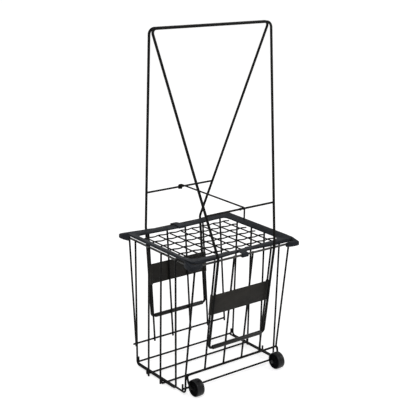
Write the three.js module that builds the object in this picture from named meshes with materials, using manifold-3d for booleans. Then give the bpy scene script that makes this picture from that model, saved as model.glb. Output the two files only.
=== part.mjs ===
// A wire tennis ball hopper: a basket of welded wires that balls are pressed into through the bottom bars,
// a two-part plastic rim frame round a hinged wire lid, two carrying handles that slide along its outside,
// and two small wheels on the ends of the front lower wire.
// Millimetres, +Z up, the ground at z = 0, the middle of the basket at x = y = 0, the wheels towards -Y.

import * as THREE from "three";
import { mergeVertices } from "three/addons/utils/BufferGeometryUtils.js";
import Module from "manifold-3d";

const wasm = await Module();
wasm.setup();

// Driving sizes

const fitGap = 0.3; // between pieces that touch
const overrun = 2; // a cutter's reach past the face it cuts

const basket = {
  wireRadius: 2.1,
  rimRadius: 2.3,
  rimLengthX: 299,
  rimLengthY: 269,
  rimHeight: 322.5,
  rimCorner: 11,
  lowerHeight: 49.5,
  lowerLengthY: 202,
  wallLengthX: 276,
  frameLengthX: 290,
  frameFrontY: 110,
  frameBackY: 84,
  frameHeight: 9.5,
  hoopHalfY: 79.3,
  hoopCorner: 9,
  cornerBend: 10,
  frameBend: 6,
  wireTail: 5,
};
const sideWire = { halfY: 24.2 };
const bars = { placeShares: [0.957, 0.343, -0.386, -1.18], hookRise: 13, hookBend: 2.5, hookReach: 1.6 };

const wheel = {
  radius: 20.5,
  height: 21.5,
  width: 19,
  hubRadius: 7,
  rimWidth: 3,
  dish: 4,
  edge: 3,
  inset: 13,
  y: -122,
  runningGap: 0.35,
  endPlay: 0.8,
};
const axle = { capLength: 6, capRadius: 4.2, capDepth: 4.5, bend: 6 };

const frame = {
  thickness: 3.6,
  bevel: 0.8,
  drop: 3,
  seam: 0.6,
  innerX: 133,
  outerX: 153,
  innerY: 104.5,
  outerY: 121.5,
  legOuterY: 131,
  innerFillet: 14,
  frontGusset: 24,
  outerFillet: 20,
  endRise: 2.8,
  cornerRise: 3.1,
  sideRise: 6,
  skirt: 2.4,
  riseFromX: 60,
  bootReach: 10.5,
  bootLength: 26,
  bootDrop: 6.5,
  bootWall: 3.5,
  bootFall: 6.5,
  bootFallFromY: 118,
  bootFallToY: 138,
  bootNoseShare: 0.4,
};
const clip = { width: 18, x: -2, thickness: 2, hook: 6, frontReach: 4, lip: 4.5 };

const lid = {
  wireRadius: 1.6,
  rows: 6,
  columns: 8,
  rowPitch: 33.8,
  columnPitch: 33,
  backRowY: 84.5,
  drop: 0.8,
  stackShare: 1.6,
  halfLengthX: 131,
  hingeY: -102.5,
  lugX: 32.5,
  lugWidth: 8,
  lugWall: 2,
  pinGap: 0.4,
};

const handle = {
  wireRadius: 2.9,
  halfX: 82.5,
  rimGap: 1.3,
  bendAboveRim: 7,
  footHeight: 105.5,
  footBend: 8,
  topHalfX: 168.5,
  topY: 4,
  topHeight: 825.5,
  topBend: 11,
  rimBend: 16,
  buttGap: 2,
};
const sleeve = { length: 148, radius: 5.2, runningGap: 0.4, shift: 1 };
const plate = { height: 50, thickness: 1.3, bottom: 189, curlTurn: 250, curlSteps: 9 };
const crossbar = { wireRadius: 2.2, height: 424.5, collarRadius: 3.4, collarLength: 3, collarSpan: 7 };
const link = {
  wireRadius: 1.8,
  x: 4,
  coilGap: 0.45,
  coilTurns: 2,
  coilPitch: 4.2,
  coilSteps: 10,
  slack: 4.2,
  bend: 4,
  tail: 30,
};

// Finishes

function finish(color, roughness, metalness) {
  return () => new THREE.MeshStandardMaterial({ color, roughness, metalness });
}
const coatedWire = finish(0x151515, 0.38, 0.25);
const zincWire = finish(0x1b1b1c, 0.4, 0.3);
const charcoalPlastic = finish(0x2b2e33, 0.55, 0);
const plateFinish = finish(0x2a2a29, 0.5, 0);
const tyrePlastic = finish(0x232425, 0.6, 0);

const hopper = new THREE.Group();

function add(name, geometry, material, parent = hopper) {
  const mesh = new THREE.Mesh(geometry, material());
  mesh.name = name;
  parent.add(mesh);
  return mesh;
}

const vec = (x, y, z) => new THREE.Vector3(x, y, z);

// A path of straight runs and round bends. Its stations sit only where the wire turns,
// so straight runs stay plain.
class WirePath extends THREE.Curve {
  constructor(corners, bends, steps = 5) {
    super();
    this.stations = [corners[0].clone()];
    this.tangents = [corners[1].clone().sub(corners[0]).normalize()];
    for (let i = 1; i < corners.length - 1; i += 1) {
      const bend = Array.isArray(bends) ? bends[i - 1] : bends;
      const into = corners[i].clone().sub(corners[i - 1]).normalize();
      const out = corners[i + 1].clone().sub(corners[i]).normalize();
      const turn = into.angleTo(out);
      const back = bend * Math.tan(turn / 2);
      const side = out.clone().addScaledVector(into, -into.dot(out)).normalize();
      const start = corners[i].clone().addScaledVector(into, -back);
      const count = Math.max(1, Math.round((steps * turn) / (Math.PI / 2)));
      for (let k = 0; k <= count; k += 1) {
        const angle = (turn * k) / count;
        this.stations.push(
          start
            .clone()
            .addScaledVector(into, bend * Math.sin(angle))
            .addScaledVector(side, bend * (1 - Math.cos(angle))),
        );
        this.tangents.push(
          into.clone().multiplyScalar(Math.cos(angle)).addScaledVector(side, Math.sin(angle)),
        );
      }
    }
    this.stations.push(corners.at(-1).clone());
    this.tangents.push(corners.at(-1).clone().sub(corners.at(-2)).normalize());
  }

  get steps() {
    return this.stations.length - 1;
  }

  getSpacedPoints() {
    return this.stations;
  }

  getTangentAt(share) {
    return this.tangents[Math.round(share * this.steps)].clone();
  }

  append(points, tangents) {
    this.stations.push(...points);
    this.tangents.push(...tangents);
    return this;
  }
}

// A round section with flats circumscribed evenly about the true radius.
function roundSection(radius, sides) {
  const outline = [];
  for (let i = 0; i < sides; i += 1) {
    const angle = (2 * Math.PI * (i + 0.5)) / sides;
    outline.push(new THREE.Vector2(radius * Math.cos(angle), radius * Math.sin(angle)));
  }
  return new THREE.Shape(outline);
}

function tube(path, radius, sides = 8) {
  return new THREE.ExtrudeGeometry(roundSection(radius, sides), {
    steps: path.steps,
    extrudePath: path,
  });
}

function wire(corners, radius, bends = 0, sides = 8, steps = 5) {
  return tube(new WirePath(corners, bends, steps), radius, sides);
}

// A turned piece about the X axis; the profile is a list of [along, radius]
// that closes on itself or on the axis.
function turned(profile, segments = 24) {
  const outline = profile.map(([along, radius]) => new THREE.Vector2(radius, along));
  const geometry = new THREE.LatheGeometry(outline, segments);
  return geometry.rotateZ(-Math.PI / 2);
}

// A plain round rod along X about its own middle.
function rod(length, radius, segments = 16) {
  const half = length / 2;
  return turned([[-half, 0], [-half, radius], [half, radius], [half, 0]], segments);
}

// Joining and cutting

function solid(geometry) {
  const bare = new THREE.BufferGeometry().setAttribute("position", geometry.getAttribute("position"));
  if (geometry.index) bare.setIndex(geometry.index);
  const merged = mergeVertices(bare, 1e-3);
  return new wasm.Manifold(
    new wasm.Mesh({
      numProp: 3,
      vertProperties: merged.attributes.position.array,
      triVerts: new Uint32Array(merged.index.array),
    }),
  );
}

function shown(manifold) {
  const { vertProperties, triVerts } = manifold.getMesh();
  const geometry = new THREE.BufferGeometry();
  geometry.setAttribute("position", new THREE.BufferAttribute(vertProperties, 3));
  geometry.setIndex(new THREE.BufferAttribute(triVerts, 1));
  const flat = geometry.toNonIndexed();
  flat.computeVertexNormals();
  return flat;
}

const join = (pieces) => pieces.reduce((whole, piece) => whole.add(piece));
const cut = (body, cutters) => cutters.reduce((left, cutter) => left.subtract(cutter), body);

// A bent strip of even thickness as a closed outline, from the line through its middle.
function strip(line, thickness) {
  const left = [];
  const right = [];
  line.forEach((point, i) => {
    const before = line[Math.max(i - 1, 0)];
    const after = line[Math.min(i + 1, line.length - 1)];
    const into = point.clone().sub(before);
    const out = after.clone().sub(point);
    if (i === 0) into.copy(out);
    if (i === line.length - 1) out.copy(into);
    into.normalize();
    out.normalize();
    const mitre = new THREE.Vector2(-into.y - out.y, into.x + out.x).normalize();
    const reach = thickness / 2 / mitre.dot(new THREE.Vector2(-into.y, into.x));
    left.push(point.clone().addScaledVector(mitre, reach));
    right.unshift(point.clone().addScaledVector(mitre, -reach));
  });
  return [...right, ...left];
}

// Places derived from the driving sizes

const rimX = basket.rimLengthX / 2;
const rimY = basket.rimLengthY / 2;
const rimTop = basket.rimHeight + basket.rimRadius;
const weldStep = basket.rimRadius + basket.wireRadius + fitGap;
const wireStep = 2 * basket.wireRadius + fitGap;
const wallTopY = rimY - weldStep;
const wallX = basket.wallLengthX / 2;
const lowerY = basket.lowerLengthY / 2;
const lowerWireY = lowerY + wireStep;
const frameX = basket.frameLengthX / 2;
const hoopX = frameX + wireStep;
const footX = hoopX + wireStep;
const wireTop = basket.rimHeight + basket.rimRadius / 2;

function wallYAt(z) {
  const share = (z - basket.lowerHeight) / (basket.rimHeight - basket.lowerHeight);
  return lowerY + (wallTopY - lowerY) * share;
}

const wheelX = frameX - wheel.inset - wheel.width / 2;
const frameBottom = rimTop - frame.drop;
const lidHeight = basket.rimHeight - lid.drop;

// The handle legs stand on the sleeves at the foot and clear the rim wire on its outside.
const footY = wallYAt(handle.footHeight) + basket.wireRadius + sleeve.radius + fitGap;
const legRimY = rimY + basket.rimRadius + handle.wireRadius + handle.rimGap;
const bendHeight = basket.rimHeight + handle.bendAboveRim;
const topHeight = handle.topHeight - handle.wireRadius;

// Basket

function rimCorners() {
  const z = basket.rimHeight;
  return [
    vec(fitGap / 2, rimY, z),
    vec(rimX, rimY, z),
    vec(rimX, -rimY, z),
    vec(-rimX, -rimY, z),
    vec(-rimX, rimY, z),
    vec(-fitGap / 2, rimY, z),
  ];
}

function addRim() {
  add("rim_wire", wire(rimCorners(), basket.rimRadius, basket.rimCorner), coatedWire);
}

const wallWireShares = [-1, -0.6, -0.2, 0.2, 0.6, 1];
const plateWireShare = wallWireShares.at(-2);

function addWallWires() {
  const bottom = basket.lowerHeight - basket.wireTail;
  wallWireShares.forEach((share, i) => {
    const x = wallX * share;
    const backLine = [vec(x, wallYAt(wireTop), wireTop), vec(x, wallYAt(bottom), bottom)];
    add("back_wall_wire_" + (i + 1), wire(backLine, basket.wireRadius), coatedWire);
    if (Math.abs(share) === 1) return;
    const frontLine = backLine.map((point) => vec(point.x, -point.y, point.z));
    add("front_wall_wire_" + i, wire(frontLine, basket.wireRadius), coatedWire);
  });
}

// The two front corner wires go on under the wall and along the bottom edge of their side.
function addCornerWires() {
  for (const [side, name] of [[-1, "left"], [1, "right"]]) {
    const line = [
      vec(side * wallX, -wallYAt(wireTop), wireTop),
      vec(side * wallX, -lowerY, basket.lowerHeight),
      vec(side * frameX, -basket.frameFrontY, basket.frameHeight),
      vec(side * frameX, basket.frameBackY, basket.frameHeight),
    ];
    const bends = [basket.cornerBend, basket.frameBend];
    add("front_corner_wire_" + name, wire(line, basket.wireRadius, bends), coatedWire);
  }
}

function addSideHoops() {
  for (const [side, name] of [[-1, "left"], [1, "right"]]) {
    const line = [
      vec(side * (rimX + weldStep), basket.hoopHalfY, wireTop),
      vec(side * hoopX, basket.hoopHalfY, basket.frameHeight),
      vec(side * hoopX, -basket.hoopHalfY, basket.frameHeight),
      vec(side * (rimX + weldStep), -basket.hoopHalfY, wireTop),
    ];
    add("side_hoop_" + name, wire(line, basket.wireRadius, basket.hoopCorner), coatedWire);
  }
}

// The side wires stand outside the rim and the bottom frame and end below it as the feet.
function addSideWires() {
  for (const [side, name] of [[-1, "left"], [1, "right"]]) {
    [1, -1].forEach((end, i) => {
      const y = end * sideWire.halfY;
      const line = [vec(side * (rimX + weldStep), y, wireTop), vec(side * footX, y, 0)];
      add(`side_wire_${name}_${i + 1}`, wire(line, basket.wireRadius), coatedWire);
    });
  }
}

function addBackLowerWire() {
  const reach = wallX + basket.wireTail;
  const line = [vec(-reach, lowerWireY, basket.lowerHeight), vec(reach, lowerWireY, basket.lowerHeight)];
  add("back_lower_wire", wire(line, basket.wireRadius), coatedWire);
}

const axleRunX = wheelX + wheel.width / 2 + wheel.endPlay + basket.wireRadius + axle.bend / 2;
const axleEndX = wheelX - wheel.width / 2 - wheel.endPlay - axle.capDepth + fitGap;

// The front lower wire turns down and forward at both ends and then inward, where it carries the wheels.
function addFrontLowerWire() {
  const line = [
    vec(-axleEndX, wheel.y, wheel.height),
    vec(-axleRunX, wheel.y, wheel.height),
    vec(-axleRunX, -lowerWireY, basket.lowerHeight),
    vec(axleRunX, -lowerWireY, basket.lowerHeight),
    vec(axleRunX, wheel.y, wheel.height),
    vec(axleEndX, wheel.y, wheel.height),
  ];
  const small = axleRunX - wheelX - wheel.width / 2 - fitGap;
  const bends = [small, axle.bend, axle.bend, small];
  add("front_lower_wire", wire(line, basket.wireRadius, bends), coatedWire);
}

// The end bars lie on the bottom edges of the corner wires. The middle bars pass under them and the hoops.
// All turn up at their ends.
function addBottomBars() {
  bars.placeShares.forEach((share, i) => {
    const y = basket.frameBackY * share;
    const onTop = i === 0 || i === bars.placeShares.length - 1;
    const z = basket.frameHeight + (onTop ? wireStep : -wireStep);
    const endX = onTop ? frameX : footX + bars.hookReach;
    const line = [
      vec(-endX, y, z + bars.hookRise),
      vec(-endX, y, z),
      vec(endX, y, z),
      vec(endX, y, z + bars.hookRise),
    ];
    add("bottom_bar_" + (i + 1), wire(line, basket.wireRadius, bars.hookBend), coatedWire);
  });
}

// Wheels

function wheelProfile() {
  const half = wheel.width / 2;
  const bore = basket.wireRadius + wheel.runningGap;
  const web = half - wheel.dish;
  const inside = wheel.radius - wheel.rimWidth;
  const side = [
    [-half, bore],
    [-half, wheel.hubRadius],
    [-web, wheel.hubRadius + wheel.runningGap],
    [-web, inside - wheel.edge / 2],
    [wheel.edge / 2 - half, inside],
    [wheel.edge / 3 - half, wheel.radius - wheel.edge / 2],
    [wheel.edge - half, wheel.radius],
  ];
  const mirrored = side.map(([along, radius]) => [-along, radius]).reverse();
  return [...side, ...mirrored, side[0]];
}

function capProfile() {
  const bore = basket.wireRadius + fitGap;
  return [
    [-axle.capLength, 0],
    [-axle.capLength, axle.capRadius - fitGap],
    [fitGap - axle.capLength, axle.capRadius],
    [0, axle.capRadius],
    [0, bore],
    [-axle.capDepth, bore],
    [-axle.capDepth, 0],
  ];
}

function addWheels() {
  for (const [side, name] of [[-1, "left"], [1, "right"]]) {
    const tread = add("wheel_" + name, turned(wheelProfile(), 24), tyrePlastic);
    tread.position.set(side * wheelX, wheel.y, wheel.height);
    const cap = add("axle_cap_" + name, turned(capProfile(), 12), tyrePlastic);
    cap.position.set(side * (wheelX - wheel.width / 2 - wheel.endPlay), wheel.y, wheel.height);
    cap.scale.x = side;
  }
}

// Rim frame

// One quarter of the band, drawn for the back right corner. Its end stands back from the rim wire.
function bandOutline(fillet) {
  const legX = handle.halfX;
  const cornerY = frame.legOuterY - frame.outerFillet;
  const cornerX = frame.outerX - frame.outerFillet;
  const shape = new THREE.Shape();
  shape.moveTo(frame.innerX, -overrun);
  shape.lineTo(frame.outerX, -overrun);
  shape.lineTo(frame.outerX, cornerY);
  shape.quadraticCurveTo(frame.outerX, frame.legOuterY, cornerX, frame.legOuterY);
  shape.lineTo(legX, frame.legOuterY);
  shape.quadraticCurveTo(legX / 2, frame.outerY, frame.seam / 2, frame.outerY);
  shape.lineTo(frame.seam / 2, frame.innerY);
  shape.lineTo(frame.innerX - fillet, frame.innerY);
  shape.quadraticCurveTo(frame.innerX, frame.innerY, frame.innerX, frame.innerY - fillet);
  return shape;
}

// The band rises outwards, and more so over the sides of the rim, where its underside hangs as a skirt.
function raiseBand(geometry) {
  const place = geometry.getAttribute("position");
  for (let i = 0; i < place.count; i += 1) {
    const x = place.getX(i);
    const under = place.getZ(i) < frameBottom + frame.thickness / 2;
    const sideRise = frame.sideRise - (under ? frame.skirt : 0);
    const inY = Math.max(0, place.getY(i) - frame.innerY) / (frame.legOuterY - frame.innerY);
    const inX = Math.max(0, x - frame.innerX) / (frame.outerX - frame.innerX);
    const share = THREE.MathUtils.clamp((x - frame.riseFromX) / (frame.innerX - frame.riseFromX), 0, 1);
    const rise = (1 - share) * frame.endRise * inY + share * (frame.cornerRise + sideRise * inX);
    place.setZ(i, place.getZ(i) + rise);
  }
  return geometry;
}

// The corner boot wraps the outside of the rim wire's corner and ends in a blunt nose.
function bootOutline() {
  const tipX = rimX + frame.bootReach;
  const tipY = rimY + frame.bootReach;
  const fromX = rimX - frame.bootLength;
  const fromY = rimY - frame.bootLength;
  const nose = frame.bootReach * frame.bootNoseShare;
  const shape = new THREE.Shape();
  shape.moveTo(rimX, fromY);
  shape.lineTo(rimX + frame.bootWall, fromY);
  shape.quadraticCurveTo(tipX, (fromY + rimY) / 2, tipX, rimY + nose);
  shape.quadraticCurveTo(tipX, tipY, rimX + nose, tipY);
  shape.quadraticCurveTo((fromX + rimX) / 2, tipY, fromX, rimY + frame.bootWall);
  shape.lineTo(fromX, rimY);
  shape.lineTo(rimX - basket.rimCorner, rimY);
  shape.quadraticCurveTo(rimX, rimY, rimX, rimY - basket.rimCorner);
  return shape;
}

// The top of the boot falls from the level of the band to little more than the height of the rim wire.
function lowerBoot(geometry) {
  const place = geometry.getAttribute("position");
  for (let i = 0; i < place.count; i += 1) {
    if (place.getZ(i) < rimTop) continue;
    const share = (place.getY(i) - frame.bootFallFromY) / (frame.bootFallToY - frame.bootFallFromY);
    place.setZ(i, place.getZ(i) - frame.bootFall * THREE.MathUtils.clamp(share, 0, 1));
  }
  return geometry;
}

function extruded(shape, low, high, bevel, curveSegments = 5) {
  const geometry = new THREE.ExtrudeGeometry(shape, {
    depth: high - low - 2 * bevel,
    curveSegments,
    bevelEnabled: true,
    bevelThickness: bevel,
    bevelSize: bevel,
    bevelOffset: -bevel,
    bevelSegments: 1,
  });
  return geometry.translate(0, 0, low + bevel);
}

// The lug is an eye on the band's inner edge that the hinge rod of the lid turns in.
function lugSolids() {
  const bore = lid.wireRadius + lid.pinGap;
  const eye = bore + lid.lugWall;
  const reach = lid.hingeY + frame.innerY + frame.bevel * 2;
  const place = (geometry) => geometry.translate(lid.lugX, lid.hingeY, lidHeight);
  const neck = new THREE.BoxGeometry(lid.lugWidth, reach, eye);
  neck.translate(0, -reach / 2, eye / 2);
  const body = solid(place(rod(lid.lugWidth, eye))).add(solid(place(neck)));
  return { body, bore: solid(place(rod(lid.lugWidth + 2 * overrun, bore))) };
}

function addRimFrame() {
  const bandTop = frameBottom + frame.thickness;
  const band = (fillet) => raiseBand(extruded(bandOutline(fillet), frameBottom, bandTop, frame.bevel));
  const bootTop = frameBottom + frame.cornerRise + frame.sideRise + frame.thickness - frame.bevel * 2;
  const bootBottom = basket.rimHeight - frame.bootDrop;
  const boot = lowerBoot(extruded(bootOutline(), bootBottom, bootTop, frame.bevel * 2));
  const lug = lugSolids();
  const rimSpace = solid(wire(rimCorners(), basket.rimRadius + fitGap, basket.rimCorner));
  const backQuarter = solid(band(frame.innerFillet)).add(solid(boot));
  const frontQuarter = solid(band(frame.frontGusset)).add(solid(boot)).mirror([0, 1, 0]);
  const half = cut(join([backQuarter, frontQuarter, lug.body]), [lug.bore, rimSpace]);
  add("rim_frame_right", shown(half), charcoalPlastic);
  const left = add("rim_frame_left", shown(half), charcoalPlastic);
  left.scale.x = -1;
}

// A clip hooked round the rim wire and folded up onto the seam of the two halves. The back one
// goes on across the band and turns down over its inner edge.
function clipGeometry(reach, lip) {
  const t = clip.thickness;
  const slope = frame.endRise / (frame.legOuterY - frame.innerY);
  const over = (y) => frameBottom + slope * (y - frame.innerY) + frame.thickness + fitGap + t / 2;
  const under = basket.rimHeight - basket.rimRadius - fitGap - t / 2;
  const outside = rimY + basket.rimRadius + fitGap + t / 2;
  const tipY = frame.outerY - reach;
  const line = [
    new THREE.Vector2(rimY - clip.hook, under),
    new THREE.Vector2(outside, under),
    new THREE.Vector2(outside, rimTop + fitGap + t / 2),
    new THREE.Vector2(frame.outerY, over(frame.outerY)),
    new THREE.Vector2(tipY, over(tipY)),
  ];
  if (lip > 0) line.push(new THREE.Vector2(tipY, over(tipY) - lip));
  const geometry = new THREE.ExtrudeGeometry(new THREE.Shape(strip(line, t)), {
    depth: clip.width,
    bevelEnabled: false,
  });
  return geometry.rotateX(Math.PI / 2).rotateZ(Math.PI / 2).translate(clip.x - clip.width / 2, 0, 0);
}

function addClips() {
  const acrossBand = frame.outerY - frame.innerY + fitGap + clip.thickness / 2;
  add("frame_clip_back", clipGeometry(acrossBand, clip.lip), charcoalPlastic);
  const front = add("frame_clip_front", clipGeometry(clip.frontReach, 0), charcoalPlastic);
  front.scale.y = -1;
}

// Lid

function addLid() {
  const bars = [];
  const stack = lid.wireRadius * lid.stackShare;
  const lastColumn = ((lid.columns - 1) * lid.columnPitch) / 2;
  for (let i = 0; i < lid.rows; i += 1) {
    const y = lid.backRowY - i * lid.rowPitch;
    const z = lidHeight + stack;
    bars.push(wire([vec(-lid.halfLengthX, y, z), vec(lid.halfLengthX, y, z)], lid.wireRadius));
  }
  for (let j = 0; j < lid.columns; j += 1) {
    const x = -lastColumn + j * lid.columnPitch;
    const back = lid.backRowY + lid.wireRadius;
    bars.push(wire([vec(x, lid.hingeY, lidHeight), vec(x, back, lidHeight)], lid.wireRadius));
  }
  const pinEnd = lastColumn + lid.wireRadius * 2;
  const pin = [vec(-pinEnd, lid.hingeY, lidHeight), vec(pinEnd, lid.hingeY, lidHeight)];
  bars.push(wire(pin, lid.wireRadius));
  add("lid_grid", shown(join(bars.map(solid))), coatedWire);
}

// Handles

function handleGeometry() {
  const half = [
    vec(handle.buttGap / 2 + sleeve.shift, footY, handle.footHeight),
    vec(handle.halfX, footY, handle.footHeight),
    vec(handle.halfX, legRimY, bendHeight),
    vec(handle.topHalfX, handle.topY, topHeight),
  ];
  const other = half.map((point) => vec(-point.x, point.y, point.z)).reverse();
  other.at(-1).x += 2 * sleeve.shift;
  const bends = [handle.footBend, handle.rimBend, handle.topBend];
  return wire([...half, ...other], handle.wireRadius, [...bends, ...bends.toReversed()], 8, 6);
}

// The crossbar runs from leg to leg, between their insides.
function crossbarPlace() {
  const share = (crossbar.height - bendHeight) / (topHeight - bendHeight);
  const foot = vec(handle.halfX, legRimY, bendHeight);
  const top = vec(handle.topHalfX, handle.topY, topHeight);
  const lean = (top.x - foot.x) / (top.z - foot.z);
  const inset = handle.wireRadius * Math.hypot(1, lean) + crossbar.wireRadius * lean + fitGap;
  return foot.lerp(top, share).add(vec(-inset, 0, 0));
}

function crossbarGeometry(withCollars) {
  const end = crossbarPlace().x;
  const r = crossbar.wireRadius;
  const profile = [[-end, 0], [-end, r]];
  if (withCollars) {
    for (const side of [-1, 1]) {
      const middle = link.x + (side * crossbar.collarSpan) / 2 + (side * crossbar.collarLength) / 2;
      const half = crossbar.collarLength / 2;
      profile.push([middle - half, r], [middle - half, crossbar.collarRadius]);
      profile.push([middle + half, crossbar.collarRadius], [middle + half, r]);
    }
  }
  profile.push([end, r], [end, 0]);
  return turned(profile, 10);
}

function sleeveGeometry() {
  const half = sleeve.length / 2;
  const bore = handle.wireRadius + sleeve.runningGap;
  const round = sleeve.radius - fitGap;
  return turned(
    [
      [-half, bore],
      [-half, round],
      [fitGap - half, sleeve.radius],
      [half - fitGap, sleeve.radius],
      [half, round],
      [half, bore],
      [-half, bore],
    ],
    16,
  );
}

// The side plate is sheet across the outside of the wall wires. Each end curls round a wall wire.
function plateGeometry() {
  const middle = plate.bottom + plate.height / 2;
  const curl = basket.wireRadius + fitGap + plate.thickness / 2;
  const curlX = wallX * plateWireShare;
  const turn = THREE.MathUtils.degToRad(plate.curlTurn);
  const rightCurl = [];
  for (let i = 0; i <= plate.curlSteps; i += 1) {
    const angle = Math.PI / 2 - (turn * i) / plate.curlSteps;
    rightCurl.push(new THREE.Vector2(curlX + curl * Math.cos(angle), curl * Math.sin(angle)));
  }
  const leftCurl = rightCurl.map((point) => new THREE.Vector2(-point.x, point.y)).reverse();
  const geometry = new THREE.ExtrudeGeometry(
    new THREE.Shape(strip([...leftCurl, ...rightCurl], plate.thickness)),
    { depth: plate.height, bevelEnabled: false },
  );
  const lean = Math.atan2(wallYAt(middle) - wallYAt(plate.bottom), middle - plate.bottom);
  return geometry.rotateX(-lean).translate(0, wallYAt(plate.bottom), plate.bottom);
}

function addPlates() {
  for (const [side, name] of [[1, "back"], [-1, "front"]]) {
    const sheet = add("side_plate_" + name, plateGeometry(), plateFinish);
    sheet.scale.y = side;
  }
}

function addHandle(side, name) {
  const set = new THREE.Group();
  set.scale.y = side;
  hopper.add(set);
  add("handle_" + name, handleGeometry(), coatedWire, set);
  const tubePiece = add("handle_sleeve_" + name, sleeveGeometry(), coatedWire, set);
  tubePiece.position.set(sleeve.shift, footY, handle.footHeight);
  const bar = add("handle_crossbar_" + name, crossbarGeometry(side < 0), zincWire, set);
  const place = crossbarPlace();
  bar.position.set(0, place.y, place.z);
}

// Lock link

function linkGeometry() {
  const bar = crossbarPlace();
  const coil = crossbar.wireRadius + link.coilGap + link.wireRadius;
  const z = bar.z + coil;
  const tailY = -(bar.y + crossbar.wireRadius + link.slack + link.wireRadius);
  const path = new WirePath(
    [vec(link.x, tailY, z - link.tail), vec(link.x, tailY, z), vec(link.x, bar.y, z)],
    link.bend,
  );
  const turns = link.coilTurns - 0.5;
  const steps = Math.round(turns * link.coilSteps);
  const points = [];
  const tangents = [];
  for (let i = 1; i <= steps; i += 1) {
    const angle = (2 * Math.PI * turns * i) / steps;
    const x = link.x - (link.coilPitch * angle) / (2 * Math.PI);
    points.push(vec(x, bar.y + coil * Math.sin(angle), bar.z + coil * Math.cos(angle)));
    tangents.push(
      vec(-link.coilPitch / (2 * Math.PI), coil * Math.cos(angle), -coil * Math.sin(angle)).normalize(),
    );
  }
  const end = points.at(-1).clone().addScaledVector(tangents.at(-1), 2 * link.wireRadius);
  return tube(path.append([...points, end], [...tangents, tangents.at(-1)]), link.wireRadius);
}

addRim();
addWallWires();
addCornerWires();
addSideHoops();
addSideWires();
addBackLowerWire();
addFrontLowerWire();
addBottomBars();
addWheels();
addRimFrame();
addClips();
addLid();
addPlates();
addHandle(1, "back");
addHandle(-1, "front");
add("lock_link", linkGeometry(), zincWire);

export default hopper;
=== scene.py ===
import math

import bmesh
import bpy
from mathutils import Matrix, Vector

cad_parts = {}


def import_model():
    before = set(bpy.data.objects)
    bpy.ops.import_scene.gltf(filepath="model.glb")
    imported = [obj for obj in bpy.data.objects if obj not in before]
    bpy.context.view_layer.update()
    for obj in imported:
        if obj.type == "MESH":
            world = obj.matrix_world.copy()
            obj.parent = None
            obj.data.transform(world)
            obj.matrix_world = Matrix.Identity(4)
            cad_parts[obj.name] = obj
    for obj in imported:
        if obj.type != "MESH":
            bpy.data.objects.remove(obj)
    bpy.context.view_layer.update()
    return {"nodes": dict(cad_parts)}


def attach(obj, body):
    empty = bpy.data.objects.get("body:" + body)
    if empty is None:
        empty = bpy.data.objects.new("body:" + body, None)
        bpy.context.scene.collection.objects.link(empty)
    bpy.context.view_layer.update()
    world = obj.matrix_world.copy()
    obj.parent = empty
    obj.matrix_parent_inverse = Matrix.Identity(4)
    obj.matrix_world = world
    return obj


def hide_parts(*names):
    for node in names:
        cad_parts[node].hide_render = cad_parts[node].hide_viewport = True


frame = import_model()

MM = 0.001
nodes = frame["nodes"]

# Camera: where the photograph was taken from, in degrees, millimetres and pixels.
VIEW_YAW, VIEW_PITCH, VIEW_ROLL = -38.267, 16.671, 1.155
VIEW_SHIFT = Vector((-4.94, -372.66, -2375.57))
VIEW_FOCAL = 966.73
PHOTO_SIDE = 416
GROUND_BELOW = 9.5

# How bright the white round the hopper is: the room's light, and the floor's lift towards white.
WORLD_LEVEL, FLOOR_LIFT = 0.45, 0.62

# The studio, in metres: half of the floor's side, and the point that both lamps face.
FLOOR_HALF, LAMP_AIM = 20, Vector((0, 0, 0.35))

# Driving sizes of the hopper in millimetres. The main ones are the solids' own; the coats, the lid's
# crimp, the knee in the axle arms, the wheels' fillets and the eased edges are finer than the solids.
WIRE = 2.1
RIM_WIRE = 2.3
LID_WIRE = 1.6
LEG_WIRE = 2.9
THIN_WIRE = 2.2
LINK_WIRE = 1.8
GAP = 0.3
WIRE_STEP = 2 * WIRE + GAP
# The coat thickens every wire beyond the solids' size. It closes the gaps at the basket's welds, but
# for those of the outer bottom bars on the corner wires, which only the bead closes.
COAT, HEAVY_COAT, THIN_COAT, LEG_COAT, LID_COAT = 0.25, 0.45, 0.2, 0.15, 0.1
WELD_STEP = RIM_WIRE + WIRE + GAP

RIM_X, RIM_Y, RIM_Z, RIM_CORNER = 149.5, 134.5, 322.5, 11
WIRE_TOP = RIM_Z + RIM_WIRE / 2
WALL_X, WALL_TOP_Y = 138, RIM_Y - WELD_STEP
WALL_SHARES = (-1, -0.6, -0.2, 0.2, 0.6, 1)
LOWER_Y, LOWER_Z = 101, 49.5
LOWER_WIRE_Y = LOWER_Y + WIRE_STEP
TAIL = 5
FRAME_X, FRAME_FRONT_Y, FRAME_BACK_Y, FRAME_Z = 145, 110, 84, 9.5
HOOP_X = FRAME_X + WIRE_STEP
HOOP_Y = 79.3
FOOT_X = HOOP_X + WIRE_STEP
SIDE_Y = 24.2
BAR_SHARES = (0.957, 0.343, -0.386, -1.18)
HOOK_RISE, HOOK_REACH = 13, 1.6
BEND_HOOK, BEND_HOOP, BEND_CORNER, BEND_FRAME = 2.5, 9, 10, 6

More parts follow.
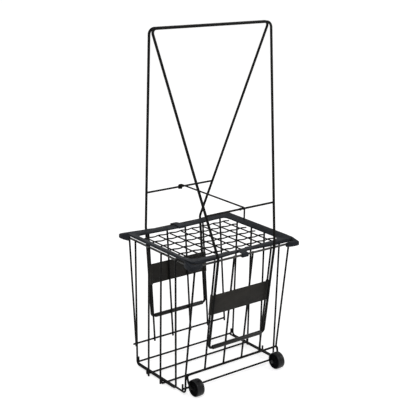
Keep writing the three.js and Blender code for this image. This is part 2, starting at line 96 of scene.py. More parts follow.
WHEEL_X, WHEEL_Y, WHEEL_Z = 122.5, -122, 21.5
WHEEL_RADIUS, WHEEL_WIDTH, END_PLAY = 20.5, 19, 0.8
WHEEL_HUB, WHEEL_RIM, WHEEL_RECESS, WHEEL_FILLET, WHEEL_SHOULDER = 7, 3.2, 5.5, 0.8, 2.4
WHEEL_PLAY = 0.6
GROOVE_X, GROOVE_HALF, GROOVE_DEPTH, GROOVE_WALL = 2.7, 0.3, 0.6, 0.4
CAP_LENGTH, CAP_RADIUS, CAP_DEPTH, CAP_DOME, CAP_EASE = 6, 4.2, 4.5, 1.8, 0.3
AXLE_BEND = 6
AXLE_RUN_X = WHEEL_X + WHEEL_WIDTH / 2 + END_PLAY + WIRE + AXLE_BEND / 2
AXLE_END_X = WHEEL_X - WHEEL_WIDTH / 2 - END_PLAY - CAP_DEPTH + GAP
ARM_DROP, ARM_FORWARD, ARM_INWARD, ARM_BEND = 17.5, 3.5, 2, 7

LID_DROP = 0.8
LID_Z = RIM_Z - LID_DROP
LID_HINGE_Y, LID_BACK_Y = -102.5, 84.5
LID_ROWS, LID_ROW_PITCH = 6, 33.8
LID_COLUMNS, LID_COLUMN_PITCH = 8, 33
LID_HALF_X = 131
LID_STACK_SHARE = 1.6
LID_STACK = LID_STACK_SHARE * LID_WIRE
LID_SAG, LID_CRIMP_STEPS = 1.8, 8

LEG_X, LEG_FOOT_Z = 82.5, 105.5
LEG_BEND_RISE, LEG_PLAY = 7, 1.3
LEG_BEND_Z = RIM_Z + LEG_BEND_RISE
LEG_RIM_Y = RIM_Y + RIM_WIRE + LEG_WIRE + LEG_PLAY
HANDLE_TOP = 825.5
TOP_X, TOP_Y, TOP_Z = 168.5, 4, HANDLE_TOP - LEG_WIRE
BEND_FOOT, BEND_RIM, BEND_TOP = 8, 16, 11
SLEEVE_RADIUS, SLEEVE_LENGTH, SLEEVE_SHIFT, SLEEVE_PLAY = 5.2, 148, 1, 0.4
BUTT_GAP = 2

PLATE_BOTTOM, PLATE_HEIGHT, PLATE_SHEET = 189, 50, 1.3
PLATE_CURL_TURN, PLATE_CURL_STEPS = 250, 18
PLATE_EASE, PLATE_CUT_ANGLE = 0.25, 60

CROSSBAR_Z = 424.5
COLLAR_RADIUS, COLLAR_LENGTH, COLLAR_SPAN, COLLAR_EASE = 3.4, 3, 7, 0.6
LINK_X, LINK_GAP, LINK_PITCH, LINK_TURNS, LINK_STEPS = 4, 0.45, 4.2, 1.5, 36
LINK_SLACK, LINK_BEND, LINK_TAIL = 4.2, 4, 30

MOULD_EASE, MOULD_EDGE_ANGLE, FLAT_ANGLE = 0.35, 40, 1

# Resistance welds: the bead's radius, its stretch along X, Y and Z where wires meet, and how far
# the first and last weld between hoop and bottom frame lie inside the hoop.
WELD_SIZE = 1.5
RIM_BEAD_SHARES, LOWER_BEAD_SHARES = (1, 0.7, 1.2), (1.1, 0.8, 1)
SIDE_BEAD_SHARES, FOOT_BEAD_SHARES = (0.7, 1, 1.2), (0.8, 1.1, 1)
BAR_BEAD_SHARES, SEAM_BEAD_SHARES = (1.2, 1, 0.8), (0.8, 2.4, 0.9)
SEAM_INSET = 18

SIDES = ((-1, "left"), (1, "right"))
ENDS = ((1, "back"), (-1, "front"))


def wall_y(z):
    """How far out the slanting front and back walls stand at a height."""
    return LOWER_Y + (WALL_TOP_Y - LOWER_Y) * (z - LOWER_Z) / (RIM_Z - LOWER_Z)


FOOT_Y = wall_y(LEG_FOOT_Z) + WIRE + SLEEVE_RADIUS + GAP


# Materials

# The black paints and plastics are nearly all satin, so little of the white room shows in them.
SATIN = 0.08


def srgb(code):
    """A colour written as a hex code, as the shader wants it."""
    parts = (int(code[i : i + 2], 16) / 255 for i in (0, 2, 4))
    return tuple(p / 12.92 if p <= 0.04045 else ((p + 0.055) / 1.055) ** 2.4 for p in parts) + (1,)


class Finish:
    """A material's node tree with its shader, to which patterns are added."""

    def __init__(self, name, color, roughness, specular=SATIN):
        self.material = bpy.data.materials.new(name)
        self.material.use_nodes = True
        self.tree = self.material.node_tree
        self.shader = self.tree.nodes["Principled BSDF"]
        self.color = color
        self.roughness = roughness
        values = {"Base Color": srgb(color), "Roughness": roughness, "Specular IOR Level": specular}
        for socket, value in values.items():
            self.shader.inputs[socket].default_value = value
        self.place = self.add("ShaderNodeTexCoord").outputs["Object"]

    def add(self, kind, settings=None, **links):
        """One node; settings are its own values, links are what goes into its sockets."""
        node = self.tree.nodes.new(kind)
        for key, value in (settings or {}).items():
            setattr(node, key, value)
        for key, value in links.items():
            socket = node.inputs[key.replace("_", " ")]
            if isinstance(value, bpy.types.NodeSocket):
                self.tree.links.new(value, socket)
            else:
                socket.default_value = value
        return node

    def noise(self, size_mm, detail, stretch=(1, 1, 1)):
        """Noise whose patches are about size_mm across, and longer where the stretch is below 1."""
        turned = self.add("ShaderNodeMapping", Vector=self.place, Scale=stretch)
        node = self.add(
            "ShaderNodeTexNoise",
            Vector=turned.outputs["Vector"],
            Scale=1 / (size_mm * MM),
            Detail=detail,
        )
        return node.outputs["Fac"]

    def band(self, value, low=0, high=1, start=0.35, end=0.65):
        """The pattern's part from start to end, stretched from low to high."""
        node = self.add("ShaderNodeMapRange", Value=value)
        ends = {"From Min": start, "From Max": end, "To Min": low, "To Max": high}
        for key, number in ends.items():
            node.inputs[key].default_value = number
        return node.outputs["Result"]

    def tint(self, factor, other):
        """The colour goes over into another where the factor is high."""
        node = self.add("ShaderNodeMix", {"data_type": "RGBA"})
        self.tree.links.new(factor, node.inputs["Factor"])
        own_color, other_color = (s for s in node.inputs if s.type == "RGBA")
        own_color.default_value, other_color.default_value = srgb(self.color), srgb(other)
        mixed = next(s for s in node.outputs if s.type == "RGBA")
        self.tree.links.new(mixed, self.shader.inputs["Base Color"])
        return self

    def uneven(self, pattern, spread):
        """The gloss wanders by spread round its typical value."""
        rough = self.band(pattern, self.roughness - spread, self.roughness + spread)
        self.tree.links.new(rough, self.shader.inputs["Roughness"])
        return self

    def relief(self, pattern, depth_mm, strength):
        """The pattern as small bumps."""
        node = self.add("ShaderNodeBump", Height=pattern, Distance=depth_mm * MM, Strength=strength)
        self.tree.links.new(node.outputs["Normal"], self.shader.inputs["Normal"])
        return self


def powder_coated_wire():
    """Steel wire in black powder coat: a faint orange peel and dull patches on a satin black."""
    finish = Finish("powder_coated_steel_wire", "080808", 0.45)
    finish.tint(finish.band(finish.noise(22, detail=4)), "11100f")
    finish.uneven(finish.noise(7, detail=4), spread=0.1)
    # The orange peel is about twice as coarse as on the real wire, to show at this picture size.
    return finish.relief(finish.noise(1.6, detail=2), depth_mm=0.05, strength=0.5).material


def rim_wire_coat():
    """The rim wire's coat: a greyer black that is painted sheen, lighter in random patches, with a
    real gloss that catches the light.
    """
    # The greyer black is painted sheen; the specular level is the real gloss.
    finish = Finish("rim_wire_coat_with_painted_sheen", "1a1a19", 0.34, specular=0.3)
    finish.tint(finish.band(finish.noise(14, detail=5)), "302e2b")
    finish.uneven(finish.noise(9, detail=4), spread=0.09)
    return finish.relief(finish.noise(1.6, detail=2), depth_mm=0.05, strength=0.4).material


def drawn_thin_wire():
    """Thin drawn wire with a dark phosphate finish: dull, with fine streaks along it."""
    finish = Finish("phosphated_thin_wire", "0e0e0e", 0.46)
    finish.tint(finish.band(finish.noise(6, detail=4, stretch=(0.15, 1, 1))), "191817")
    finish.uneven(finish.noise(3, detail=4, stretch=(0.2, 1, 1)), spread=0.12)
    streaks = finish.noise(1.2, detail=2, stretch=(0.25, 1, 1))
    return finish.relief(streaks, depth_mm=0.03, strength=0.5).material


def painted_tube():
    """Thin steel tube with satin black paint, rubbed lighter in long streaks by shoes and hands."""
    finish = Finish("satin_painted_steel_tube", "080808", 0.24, specular=0.24)
    rubs = finish.noise(7, detail=5, stretch=(0.12, 1, 1))
    finish.tint(finish.band(rubs, start=0.45, end=0.75), "1b1a19")
    finish.uneven(finish.noise(5, detail=4, stretch=(0.2, 1, 1)), spread=0.12)
    return finish.relief(finish.noise(2, detail=2), depth_mm=0.05, strength=0.4).material


def spark_eroded_plastic():
    """Charcoal polypropylene from a spark-eroded mould: a fine even grain that greys the light."""
    finish = Finish("spark_eroded_charcoal_polypropylene", "1b1d21", 0.58)
    finish.tint(finish.band(finish.noise(30, detail=4)), "25282d")
    finish.uneven(finish.noise(11, detail=4), spread=0.07)
    # The grain is drawn at 0.9 mm, some three times its real size, so that it shows at all.
    return finish.relief(finish.noise(0.9, detail=3), depth_mm=0.08, strength=0.6).material


def painted_sheet():
    """Pressed steel sheet with a satin brown-black paint: soft rolling waves and a little dust."""
    finish = Finish("satin_painted_steel_sheet", "252422", 0.48)
    finish.tint(finish.band(finish.noise(26, detail=5, stretch=(0.5, 1, 1))), "302e2b")
    finish.uneven(finish.noise(13, detail=5), spread=0.1)
    waves = finish.noise(17, detail=2, stretch=(0.4, 1, 1))
    return finish.relief(waves, depth_mm=0.12, strength=0.5).material


def moulded_wheel():
    """Hard black polyethylene: a waxy tread with a soft highlight, scuffed grey where it rolls."""
    finish = Finish("moulded_black_polyethylene", "070708", 0.3, specular=0.22)
    scuffs = finish.noise(9, detail=6, stretch=(0.5, 1, 1))
    finish.tint(finish.band(scuffs, start=0.45, end=0.75), "16171a")
    finish.uneven(finish.noise(4, detail=5), spread=0.08)
    return finish.relief(finish.noise(1.8, detail=4), depth_mm=0.1, strength=0.5).material


def wheel_hollow_painted_shade():
    """The same polyethylene in the wheel's hollow face, left matt by the mould, in a darker black
    that is painted shade.
    """
    # Darker than the tread: painted shade in the recessed face; the roughness is the real matt
    # finish.
    finish = Finish("matt_polyethylene_face_with_painted_shade", "050506", 0.7, specular=0.05)
    finish.tint(finish.band(finish.noise(6, detail=4)), "0c0c0d")
    finish.uneven(finish.noise(4, detail=5), spread=0.06)
    return finish.relief(finish.noise(1.2, detail=4), depth_mm=0.08, strength=0.5).material


def looking_rays(tree):
    """1 for a ray that looks, also by way of a mirror or glass, and 0 for one that lights."""
    rays = tree.nodes.new("ShaderNodeLightPath")
    looking = rays.outputs["Is Camera Ray"]
    for ray in ("Is Glossy Ray", "Is Transmission Ray"):
        either = tree.nodes.new("ShaderNodeMath")
        either.operation = "MAXIMUM"
        tree.links.new(looking, either.inputs[0])
        tree.links.new(rays.outputs[ray], either.inputs[1])
        looking = either.outputs[0]
    return looking


def pale_floor():
    """White studio paper: it fades out into the background but keeps the hopper's shadow."""
    finish = Finish("white_studio_paper", "e8e8e8", 0.9, specular=0.5)
    finish.uneven(finish.noise(60, detail=3), spread=0.05)
    lift = finish.band(looking_rays(finish.tree), high=FLOOR_LIFT, start=0, end=1)
    finish.tree.links.new(lift, finish.shader.inputs["Emission Strength"])
    finish.shader.inputs["Emission Color"].default_value = srgb("ffffff")
    return finish.material


coated = powder_coated_wire()
rim_coat_painted_sheen = rim_wire_coat()
thin_coat = drawn_thin_wire()
sleeve_paint = painted_tube()
charcoal = spark_eroded_plastic()
sheet_paint = painted_sheet()
wheel_black = moulded_wheel()
wheel_face_painted_shade = wheel_hollow_painted_shade()


# Making pieces


def vec(x, y, z):
    return Vector((x, y, z))


def bent(corners, bends, steps=8):
    """Points of a wire that runs straight between corners and turns round each at its radius."""
    points = [corners[0]]
    inner = corners[1:-1]
    radii = bends if isinstance(bends, (list, tuple)) else [bends] * len(inner)
    for before, corner, after, radius in zip(corners, inner, corners[2:], radii):
        into, out = (corner - before).normalized(), (after - corner).normalized()
        turn = into.angle(out)
        start = corner - into * radius * math.tan(turn / 2)
        side = (out - into * into.dot(out)).normalized()
        count = max(2, round(steps * turn / (math.pi / 2)))
        for k in range(count + 1):
            angle = turn * k / count
            along = start + into * radius * math.sin(angle)
            points.append(along + side * radius * (1 - math.cos(angle)))
    points.append(corners[-1])
    return points


def ring_frames(points):
    """The place and turn of a wire's section at each point, without any twist along it."""
    tangents = []
    for i, point in enumerate(points):
        before, after = points[max(i - 1, 0)], points[min(i + 1, len(points) - 1)]
        into = (point - before).normalized() if i else (after - point).normalized()
        out = (after - point).normalized() if i < len(points) - 1 else into
        tangents.append((into + out).normalized())
    turn = Vector((0, 0, 1)).rotation_difference(tangents[0])
    frames = []
    for i, (point, tangent) in enumerate(zip(points, tangents)):
        if i:
            turn = tangents[i - 1].rotation_difference(tangent) @ turn
        frames.append(Matrix.Translation(point) @ turn.to_matrix().to_4x4())
    return frames


def eased(bm, edges, width):
    """Edges rounded over by width."""
    bmesh.ops.bevel(
        bm, geom=edges, offset=width, segments=2, profile=0.5, affect="EDGES", material=-1
    )


def round_wire(bm, points, radius, sides=14, end_share=0.35):
    """A round wire through the points, its cut ends rounded over by a share of its radius."""
    frames = ring_frames(points)
    verts = bmesh.ops.create_circle(bm, radius=radius, segments=sides, matrix=frames[0])["verts"]
    edges = list({e for v in verts for e in v.link_edges})
    first, rims = list(edges), []
    for before, after in zip(frames, frames[1:]):
        grown = bmesh.ops.extrude_edge_only(bm, edges=edges)["geom"]
        verts = [g for g in grown if isinstance(g, bmesh.types.BMVert)]
        bmesh.ops.transform(bm, matrix=after @ before.inverted(), verts=verts)
        fresh = set(verts)
        edges = [g for g in grown if isinstance(g, bmesh.types.BMEdge) and set(g.verts) <= fresh]
    for rim in (first, edges):
        bmesh.ops.contextual_create(bm, geom=rim)
        rims += rim
    if end_share:
        eased(bm, rims, radius * end_share)
    return bm


def piece(name, bm, material, body, replaced=(), smooth=50):
    """The mesh, in millimetres till now, as a finished piece that rides on its body."""
    bmesh.ops.remove_doubles(bm, verts=bm.verts, dist=0.0005)
    bmesh.ops.recalc_face_normals(bm, faces=bm.faces)
    bmesh.ops.scale(bm, vec=(MM, MM, MM), verts=bm.verts)
    mesh = bpy.data.meshes.new(name)
    for face in bm.faces:
        face.smooth = True
    for edge in bm.edges:
        edge.smooth = len(edge.link_faces) < 2 or edge.calc_face_angle(0) < math.radians(smooth)
    bm.to_mesh(mesh)
    bm.free()
    mesh.materials.append(material)
    made = bpy.data.objects.new(name, mesh)
    bpy.context.scene.collection.objects.link(made)
    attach(made, body)
    for node in replaced:
        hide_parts(node)
    return made


def wire_piece(
    name, points, radius, body="basket", material=coated, slot="coated_wire", sides=14, coat=COAT
):
    bm = round_wire(bmesh.new(), points, radius + coat, sides)
    piece(name + "_finished", bm, material, body, [name])


def turned(bm, profile, axis_place, segments=32):
    """A turned shape about a line along X; the profile is a list of (along, radius) pairs."""
    x, y, z = axis_place
    made = [bm.verts.new((x + along, y, z + radius)) for along, radius in profile]
    edges = [bm.edges.new(pair) for pair in zip(made, made[1:])]
    if (made[0].co - made[-1].co).length > 0 and profile[0][1] > 0:
        edges.append(bm.edges.new((made[-1], made[0])))
    bmesh.ops.spin(
        bm,
        geom=made + edges,
        cent=(x, y, z),
        axis=(1, 0, 0),
        angle=2 * math.pi,
        steps=segments,
        use_merge=True,
    )
    return bm


def quarter_steps(count=4):
    """Angles from 0 to a quarter turn, for a rounded edge in a profile."""
    return [math.pi / 2 * k / count for k in range(count + 1)]


# Basket


def rim_wire():
    corners = [
        vec(GAP / 2, RIM_Y, RIM_Z),
        vec(RIM_X, RIM_Y, RIM_Z),
        vec(RIM_X, -RIM_Y, RIM_Z),
        vec(-RIM_X, -RIM_Y, RIM_Z),
        vec(-RIM_X, RIM_Y, RIM_Z),
        vec(-GAP / 2, RIM_Y, RIM_Z),
    ]
    points = bent(corners, RIM_CORNER, steps=10)
    wire_piece("rim_wire", points, RIM_WIRE, material=rim_coat_painted_sheen, sides=16)


def wall_wires():
    bottom = LOWER_Z - TAIL
    for number, share in enumerate(WALL_SHARES, 1):
        x = WALL_X * share
        line = [vec(x, wall_y(WIRE_TOP), WIRE_TOP), vec(x, wall_y(bottom), bottom)]
        wire_piece(f"back_wall_wire_{number}", line, WIRE)
        if abs(share) < 1:
            wire_piece(f"front_wall_wire_{number - 1}", [vec(p.x, -p.y, p.z) for p in line], WIRE)


def corner_wires():
    for side, name in SIDES:
        corners = [
            vec(side * WALL_X, -wall_y(WIRE_TOP), WIRE_TOP),
            vec(side * WALL_X, -LOWER_Y, LOWER_Z),
            vec(side * FRAME_X, -FRAME_FRONT_Y, FRAME_Z),
            vec(side * FRAME_X, FRAME_BACK_Y, FRAME_Z),
        ]
        wire_piece("front_corner_wire_" + name, bent(corners, [BEND_CORNER, BEND_FRAME]), WIRE)


def side_hoops():
    for side, name in SIDES:
        top = side * (RIM_X + WELD_STEP)
        corners = [
            vec(top, HOOP_Y, WIRE_TOP),
            vec(side * HOOP_X, HOOP_Y, FRAME_Z),
            vec(side * HOOP_X, -HOOP_Y, FRAME_Z),
            vec(top, -HOOP_Y, WIRE_TOP),
        ]
        wire_piece("side_hoop_" + name, bent(corners, BEND_HOOP), WIRE)


def side_wires():
    for side, name in SIDES:
        for number, end in enumerate((1, -1), 1):
            y = end * SIDE_Y
            line = [vec(side * (RIM_X + WELD_STEP), y, WIRE_TOP), vec(side * FOOT_X, y, 0)]
            wire_piece(f"side_wire_{name}_{number}", line, WIRE)


def lower_wires():
    """The back wire is straight. The front one turns down and inward at both ends, as the axles."""
    reach = WALL_X + TAIL
    wire_piece("back_lower_wire", [vec(x, LOWER_WIRE_Y, LOWER_Z) for x in (-reach, reach)], WIRE)
    half = [
        vec(-AXLE_END_X, WHEEL_Y, WHEEL_Z),
        vec(-AXLE_RUN_X, WHEEL_Y, WHEEL_Z),
        vec(ARM_INWARD - AXLE_RUN_X, -LOWER_WIRE_Y - ARM_FORWARD, LOWER_Z - ARM_DROP),
        vec(-AXLE_RUN_X, -LOWER_WIRE_Y, LOWER_Z),
    ]
    small = AXLE_RUN_X - WHEEL_X - WHEEL_WIDTH / 2 - GAP
    corners = half + [vec(-p.x, p.y, p.z) for p in reversed(half)]
    bends = [small, ARM_BEND, AXLE_BEND]
    wire_piece("front_lower_wire", bent(corners, bends + bends[::-1]), WIRE, coat=HEAVY_COAT)


def bottom_bars():
    for number, share in enumerate(BAR_SHARES, 1):
        y = FRAME_BACK_Y * share
        on_top = number in (1, len(BAR_SHARES))
        z = FRAME_Z + (WIRE_STEP if on_top else -WIRE_STEP)
        end = FRAME_X if on_top else FOOT_X + HOOK_REACH
        corners = [
            vec(-end, y, z + HOOK_RISE),
            vec(-end, y, z),
            vec(end, y, z),
            vec(end, y, z + HOOK_RISE),
        ]
        wire_piece(f"bottom_bar_{number}", bent(corners, BEND_HOOK), WIRE)


# Lid


def lid_grid():
    """The rows are crimped: they ride over each column and sag a little between."""
    bm = bmesh.new()
    radius = LID_WIRE + LID_COAT
    last = (LID_COLUMNS - 1) * LID_COLUMN_PITCH / 2
    step = LID_COLUMN_PITCH / LID_CRIMP_STEPS
    count = math.floor(LID_HALF_X / step)
    places = [-LID_HALF_X] + [k * step for k in range(-count, count + 1)] + [LID_HALF_X]
    for row in range(LID_ROWS):
        y = LID_BACK_Y - row * LID_ROW_PITCH
        line = []
        for x in places:
            wave = (1 - math.cos(2 * math.pi * (x + last) / LID_COLUMN_PITCH)) / 2
            line.append(vec(x, y, LID_Z + LID_STACK - LID_SAG * wave))
        round_wire(bm, line, radius)
    for column in range(LID_COLUMNS):
        x = column * LID_COLUMN_PITCH - last
        round_wire(bm, [vec(x, y, LID_Z) for y in (LID_HINGE_Y, LID_BACK_Y + LID_WIRE)], radius)
    pin = last + 2 * LID_WIRE
    round_wire(bm, [vec(x, LID_HINGE_Y, LID_Z) for x in (-pin, pin)], radius)
    piece("lid_grid_finished", bm, coated, "lid", ["lid_grid"])


# Handles


def handle_corners(side):
    half = [
        vec(BUTT_GAP / 2, side * FOOT_Y, LEG_FOOT_Z),
        vec(LEG_X, side * FOOT_Y, LEG_FOOT_Z),
        vec(LEG_X, side * LEG_RIM_Y, LEG_BEND_Z),
        vec(TOP_X, side * TOP_Y, TOP_Z),
    ]
    other = [vec(-p.x, p.y, p.z) for p in reversed(half)]
    half[0].x += SLEEVE_SHIFT
    other[-1].x += SLEEVE_SHIFT
    return half + other


def handles():
    bends = [BEND_FOOT, BEND_RIM, BEND_TOP]
    for side, name in ENDS:
        body = "handle_" + name
        points = bent(handle_corners(side), bends + bends[::-1], steps=10)
        wire_piece(body, points, LEG_WIRE, body, sides=20, coat=LEG_COAT)
        sleeve(side, name)
        crossbar(side, name, body)


def sleeve(side, name):
    """The foot tube: its ends are rolled inward."""
    half, bore = SLEEVE_LENGTH / 2, LEG_WIRE + SLEEVE_PLAY
    lip = SLEEVE_RADIUS - bore
    arc = [
        (lip * (1 - math.sin(a)), SLEEVE_RADIUS - lip * (1 - math.cos(a))) for a in quarter_steps()
    ]
    right = [(half - along, radius) for along, radius in arc]
    left = [(-along, radius) for along, radius in reversed(right)]
    place = (SLEEVE_SHIFT, side * FOOT_Y, LEG_FOOT_Z)
    profile = [(-half, bore)] + left[1:] + right[:-1] + [(half, bore)]
    bm = turned(bmesh.new(), profile, place)
    node = "handle_sleeve_" + name
    piece(node + "_finished", bm, sleeve_paint, "sleeve_" + name, [node])


def crossbar_place():
    share = (CROSSBAR_Z - LEG_BEND_Z) / (TOP_Z - LEG_BEND_Z)
    foot, top = vec(LEG_X, LEG_RIM_Y, LEG_BEND_Z), vec(TOP_X, TOP_Y, TOP_Z)
    lean = (top.x - foot.x) / (top.z - foot.z)
    inset = LEG_WIRE * math.hypot(1, lean) + THIN_WIRE * lean + GAP
    return foot.lerp(top, share) - vec(inset, 0, 0)


def crossbar(side, name, body):
    place = crossbar_place()
    line = [vec(x, side * place.y, place.z) for x in (-place.x, place.x)]
    bm = round_wire(bmesh.new(), line, THIN_WIRE + THIN_COAT, sides=12, end_share=0)
    if side < 0:
        for end in (-1, 1):
            middle = LINK_X + end * (COLLAR_SPAN + COLLAR_LENGTH) / 2
            half, soft = COLLAR_LENGTH / 2, COLLAR_EASE
            profile = [
                (-half, THIN_WIRE),
                (-half, COLLAR_RADIUS - soft),
                (soft - half, COLLAR_RADIUS),
                (half - soft, COLLAR_RADIUS),
                (half, COLLAR_RADIUS - soft),
                (half, THIN_WIRE),
            ]
            turned(bm, profile, (middle, side * place.y, place.z), segments=24)
    node = "handle_crossbar_" + name
    piece(node + "_finished", bm, thin_coat, body, [node])


def lock_link():
    place = crossbar_place()
    coil = THIN_WIRE + LINK_GAP + LINK_WIRE
    z = place.z + coil
    tail_y = -(place.y + THIN_WIRE + LINK_SLACK + LINK_WIRE)
    corners = [vec(LINK_X, tail_y, z - LINK_TAIL), vec(LINK_X, tail_y, z), vec(LINK_X, place.y, z)]
    points = bent(corners, LINK_BEND)
    for step in range(1, LINK_STEPS + 1):
        angle = 2 * math.pi * LINK_TURNS * step / LINK_STEPS
        x = LINK_X - LINK_PITCH * angle / (2 * math.pi)
        points.append(vec(x, place.y + coil * math.sin(angle), place.z + coil * math.cos(angle)))
    look = {"material": thin_coat, "slot": "dark_wire", "sides": 12, "coat": THIN_COAT}
    wire_piece("lock_link", points, LINK_WIRE, "link", **look)


def sheet_section(bm, line, thickness):
    """A strip of faces along a line in plan, half the sheet's thickness to either side of it."""
    sides = []
    for i, point in enumerate(line):
        before, after = line[max(i - 1, 0)], line[min(i + 1, len(line) - 1)]
        into = (point - before).normalized() if i else (after - point).normalized()
        out = (after - point).normalized() if i < len(line) - 1 else into
        mitre = vec(-into.y - out.y, into.x + out.x, 0).normalized()
        reach = thickness / 2 / mitre.dot(vec(-into.y, into.x, 0))
        sides.append((bm.verts.new(point + mitre * reach), bm.verts.new(point - mitre * reach)))
    for (left, right), (next_left, next_right) in zip(sides, sides[1:]):
        bm.faces.new((left, right, next_right, next_left))


def side_plates():
    """Sheet whose ends curl round two wall wires, with its cut edges eased."""
    middle = PLATE_BOTTOM + PLATE_HEIGHT / 2
    curl = WIRE + GAP + PLATE_SHEET / 2
    curled_wire = WALL_X * WALL_SHARES[-2]
    right = []
    for k in range(PLATE_CURL_STEPS + 1):
        angle = math.pi / 2 - math.radians(PLATE_CURL_TURN) * k / PLATE_CURL_STEPS
        right.append(vec(curled_wire + curl * math.cos(angle), curl * math.sin(angle), 0))
    line = [vec(-p.x, p.y, 0) for p in reversed(right)] + right
    lean = math.atan2(wall_y(middle) - wall_y(PLATE_BOTTOM), middle - PLATE_BOTTOM)
    for side, name in ENDS:
        bm = bmesh.new()
        sheet_section(bm, line, PLATE_SHEET)
        grown = bmesh.ops.extrude_face_region(bm, geom=bm.faces[:])["geom"]
        fresh = [g for g in grown if isinstance(g, bmesh.types.BMVert)]
        bmesh.ops.translate(bm, vec=(0, 0, PLATE_HEIGHT), verts=fresh)
        bmesh.ops.recalc_face_normals(bm, faces=bm.faces)
        cut = math.radians(PLATE_CUT_ANGLE)
        sharp = [e for e in bm.edges if e.is_manifold and e.calc_face_angle() > cut]
        eased(bm, sharp, PLATE_EASE)
        bmesh.ops.rotate(bm, matrix=Matrix.Rotation(-lean, 3, "X"), verts=bm.verts)
        bmesh.ops.translate(bm, vec=(0, wall_y(PLATE_BOTTOM), PLATE_BOTTOM), verts=bm.verts)
        bmesh.ops.scale(bm, vec=(1, side, 1), verts=bm.verts)
        node = "side_plate_" + name
        piece(node + "_finished", bm, sheet_paint, "basket", [node])


# Wheels


def wheel_profile():
    """Half of the section, from the bore over the recessed face to the crowned tread."""
    half, fillet = WHEEL_WIDTH / 2, WHEEL_FILLET
    web, inside = half - WHEEL_RECESS, WHEEL_RADIUS - WHEEL_RIM
    face = [
        (-half, WIRE + WHEEL_PLAY),
        (-half, WHEEL_HUB - fillet),
        (fillet - half, WHEEL_HUB),
        (-web - fillet, WHEEL_HUB + fillet / 2),
        (-web, WHEEL_HUB + 3 * fillet / 2),
        (-web, inside - 2 * fillet),
        (-web - fillet, inside - fillet),
        (fillet - half, inside),
        (-half, inside + fillet),
    ]
    corner = WHEEL_RADIUS - WHEEL_SHOULDER - WHEEL_FILLET / 3
    shoulder = [
        (-half + WHEEL_SHOULDER * (1 - math.cos(a)), corner + WHEEL_SHOULDER * math.sin(a))
        for a in quarter_steps(count=5)
    ]
    floor, mouth = GROOVE_HALF, GROOVE_HALF + GROOVE_WALL
    groove = [
        (-GROOVE_X - mouth, WHEEL_RADIUS),
        (-GROOVE_X - floor, WHEEL_RADIUS - GROOVE_DEPTH),
        (-GROOVE_X + floor, WHEEL_RADIUS - GROOVE_DEPTH),
        (-GROOVE_X + mouth, WHEEL_RADIUS),
    ]
    left = face + shoulder + groove
    return left + [(-along, radius) for along, radius in reversed(left)]


def wheels():
    for side, name in SIDES:
        bm = turned(bmesh.new(), wheel_profile(), (side * WHEEL_X, WHEEL_Y, WHEEL_Z), segments=64)
        node = "wheel_" + name
        made = piece(node + "_finished", bm, wheel_black, node, [node], smooth=40)
        made.data.materials.append(wheel_face_painted_shade)
        # The hollow face inside the rim takes the darker material: painted shade in the recess.
        for face in made.data.polygons:
            out = math.hypot(face.center.y - WHEEL_Y * MM, face.center.z - WHEEL_Z * MM)
            face.material_index = int(out < (WHEEL_RADIUS - WHEEL_RIM + WHEEL_FILLET) * MM)
        inner = WHEEL_X - WHEEL_WIDTH / 2 - END_PLAY
        bore = WIRE + GAP
        dome = [
            (-CAP_LENGTH + CAP_DOME * (1 - math.cos(a)), CAP_RADIUS - CAP_DOME * (1 - math.sin(a)))
            for a in quarter_steps()
        ]
        profile = [(-CAP_LENGTH, 0)] + dome
        profile += [(-CAP_EASE, CAP_RADIUS), (0, CAP_RADIUS - CAP_EASE), (0, bore)]
        profile += [(-CAP_DEPTH, bore), (-CAP_DEPTH, 0)]
        place = (side * inner, WHEEL_Y, WHEEL_Z)
        bm = turned(bmesh.new(), [(side * along, radius) for along, radius in profile], place)
        cap = "axle_cap_" + name
        piece(cap + "_finished", bm, wheel_black, "basket", [cap])


# Plastic frame and clips


def moulded_copy(node):
    """The node's own shape with its hard edges eased and its curves shaded round."""
    bm = bmesh.new()
    bm.from_mesh(nodes[node].data)
    bmesh.ops.scale(bm, vec=(1 / MM, 1 / MM, 1 / MM), verts=bm.verts)
    bmesh.ops.remove_doubles(bm, verts=bm.verts, dist=0.002)
    flat = math.radians(FLAT_ANGLE)
    bmesh.ops.dissolve_limit(bm, angle_limit=flat, verts=bm.verts, edges=bm.edges)
    bmesh.ops.triangulate(bm, faces=[f for f in bm.faces if len(f.verts) > 4])
    made = piece(node + "_finished", bm, charcoal, "basket", [node], smooth=35)
    soft = made.modifiers.new("eased_edges", "BEVEL")
    soft.width, soft.segments = MOULD_EASE * MM, 2
    soft.limit_method, soft.angle_limit = "ANGLE", math.radians(MOULD_EDGE_ANGLE)


def plastic_frame():
    for node in ("rim_frame_left", "rim_frame_right", "frame_clip_front", "frame_clip_back"):
        moulded_copy(node)


# Welds


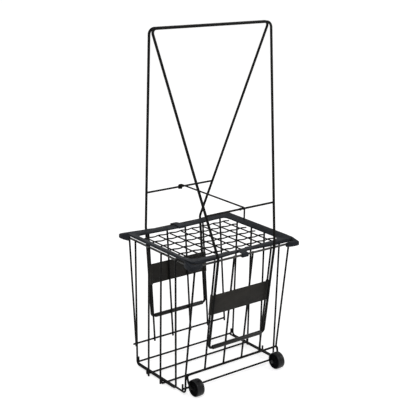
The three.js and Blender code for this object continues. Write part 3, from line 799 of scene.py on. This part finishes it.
def weld_spots():
    """A flattened bead where two wires of the basket were pressed together and welded."""
    spots = []
    for share in WALL_SHARES:
        for end in (-1, 1):
            x = WALL_X * share
            spots.append((vec(x, end * (RIM_Y - RIM_WIRE), RIM_Z), RIM_BEAD_SHARES))
            spots.append((vec(x, end * (LOWER_Y + WIRE), LOWER_Z), LOWER_BEAD_SHARES))
    for side in (-1, 1):
        for y in (HOOP_Y, -HOOP_Y, SIDE_Y, -SIDE_Y):
            spots.append((vec(side * (RIM_X + RIM_WIRE), y, RIM_Z), SIDE_BEAD_SHARES))
        for y in (SIDE_Y, -SIDE_Y):
            spots.append((vec(side * (HOOP_X + WIRE), y, FRAME_Z), FOOT_BEAD_SHARES))
        for number, share in enumerate(BAR_SHARES, 1):
            y = FRAME_BACK_Y * share
            lift = WIRE if number in (1, len(BAR_SHARES)) else -WIRE
            spots.append((vec(side * FRAME_X, y, FRAME_Z + lift), BAR_BEAD_SHARES))
        for y in (SEAM_INSET - HOOP_Y, 0, HOOP_Y - SEAM_INSET):
            spots.append((vec(side * (FRAME_X + WIRE), y, FRAME_Z), SEAM_BEAD_SHARES))
    bm = bmesh.new()
    for place, stretch in spots:
        shape = Matrix.Translation(place) @ Matrix.Diagonal((*stretch, 1))
        bmesh.ops.create_icosphere(bm, subdivisions=2, radius=WELD_SIZE, matrix=shape)
    piece("weld_spots", bm, coated, "basket", smooth=180)


rim_wire()
wall_wires()
corner_wires()
side_hoops()
side_wires()
lower_wires()
bottom_bars()
lid_grid()
handles()
side_plates()
lock_link()
wheels()
plastic_frame()
weld_spots()


# Studio


def camera():
    """The photograph's own view of the hopper."""
    yaw, pitch, roll = (math.radians(a) for a in (VIEW_YAW, VIEW_PITCH, VIEW_ROLL))
    level = math.cos(pitch)
    back = Vector((math.sin(yaw) * level, -math.cos(yaw) * level, math.sin(pitch)))
    right = Vector((0, 0, 1)).cross(back).normalized()
    up = back.cross(right)
    right, up = (
        math.cos(roll) * right + math.sin(roll) * up,
        -math.sin(roll) * right + math.cos(roll) * up,
    )
    turn = Matrix((right, up, back)).transposed()
    place = turn @ -VIEW_SHIFT + Vector((0, 0, GROUND_BELOW))
    lens = bpy.data.cameras.new("photo_camera")
    lens.sensor_width = 36
    lens.lens = VIEW_FOCAL * lens.sensor_width / PHOTO_SIDE
    lens.clip_end = 100
    eye = bpy.data.objects.new("photo_camera", lens)
    eye.matrix_world = Matrix.Translation(place * MM) @ turn.to_4x4()
    bpy.context.scene.collection.objects.link(eye)
    bpy.context.scene.camera = eye


def floor():
    bm = bmesh.new()
    bmesh.ops.create_grid(bm, x_segments=1, y_segments=1, size=FLOOR_HALF)
    mesh = bpy.data.meshes.new("studio_floor")
    bm.to_mesh(mesh)
    bm.free()
    mesh.materials.append(pale_floor())
    ground = bpy.data.objects.new("studio_floor", mesh)
    bpy.context.scene.collection.objects.link(ground)


def softbox(name, place, size, watts):
    lamp = bpy.data.lights.new(name, "AREA")
    lamp.shape, lamp.size, lamp.energy = "DISK", size, watts
    made = bpy.data.objects.new(name, lamp)
    made.location = place
    made.rotation_euler = (LAMP_AIM - Vector(place)).to_track_quat("-Z", "Y").to_euler()
    bpy.context.scene.collection.objects.link(made)


def world():
    """Soft light from all round; the camera and reflections see white."""
    made = bpy.data.worlds.new("studio")
    bpy.context.scene.world = made
    made.use_nodes = True
    tree = made.node_tree
    ground = tree.nodes["Background"]
    ground.inputs["Color"].default_value = (1, 1, 1, 1)
    level = tree.nodes.new("ShaderNodeMapRange")
    level.inputs["To Min"].default_value = WORLD_LEVEL
    tree.links.new(looking_rays(tree), level.inputs["Value"])
    tree.links.new(level.outputs["Result"], ground.inputs["Strength"])


camera()
floor()
world()
softbox("key_softbox", place=(-2.2, -2.4, 3.2), size=1.2, watts=60)
softbox("fill_softbox", place=(2.8, -1.6, 2.0), size=1.6, watts=18)
bpy.context.scene.view_settings.view_transform = "Standard"
